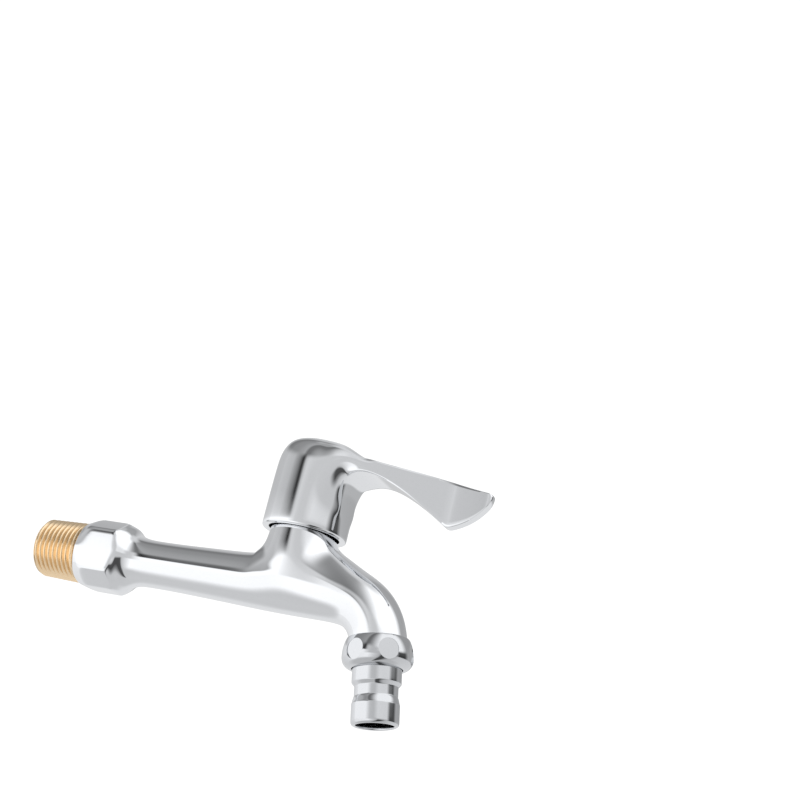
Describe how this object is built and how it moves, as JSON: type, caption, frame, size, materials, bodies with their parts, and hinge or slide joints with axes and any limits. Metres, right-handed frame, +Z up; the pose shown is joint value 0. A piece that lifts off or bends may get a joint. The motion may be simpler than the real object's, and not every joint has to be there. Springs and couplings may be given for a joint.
{
  "type": "washing machine tap",
  "caption": "Chromed wall tap for a washing machine with a tapered brass thread, quarter turn fishtail lever, round-sided nut and push-on hose nipple.",
  "frame": {"origin": "centre of the wall thread's free end", "axes": "+X along the pipe away from the wall, +Z up along the neck to the handle, Y = 0 is the plane of symmetry"},
  "size_m": [0.1609, 0.0294, 0.0925],
  "materials": {
    "body_chrome": "polished chrome plate over cast brass",
    "handle_chrome": "polished chrome plate over zinc casting",
    "nut_chrome": "polished chrome plate over turned brass",
    "nipple_chrome": "satin to polished chrome plate over turned brass",
    "bonnet_brass": "turned brass",
    "spindle_brass": "turned and broached brass",
    "fibre_gasket": "red pressed fibre",
    "rubber_seal": "black moulded rubber",
    "nylon": "natural nylon",
    "ceramic": "lapped white ceramic",
    "clip_steel": "spring steel",
    "screw_steel": "stainless steel"
  },
  "bodies": {
    "tap": {"tap_body": "body_chrome", "cartridge_bonnet": "bonnet_brass", "bonnet_gasket": "fibre_gasket", "disc_seal": "rubber_seal", "seal_support_ring": "nylon", "fixed_ceramic_disc": "ceramic", "thrust_washer": "nylon", "outlet_nut": "nut_chrome", "hose_nipple": "nipple_chrome", "outlet_gasket": "rubber_seal"},
    "handle": {"lever_handle": "handle_chrome", "spline_insert": "nylon", "handle_grub_screw": "screw_steel", "valve_spindle": "spindle_brass", "moving_ceramic_disc": "ceramic", "lower_o_ring": "rubber_seal", "upper_o_ring": "rubber_seal", "spindle_clip": "clip_steel", "stop_ring": "spindle_brass"}
  },
  "joints": [
    {"name": "handle_turn", "type": "hinge", "parent": "tap", "child": "handle", "pos_m": [0.097, 0, 0.03], "axis": [0, 0, 1], "range_deg": [0, 90]}
  ]
}
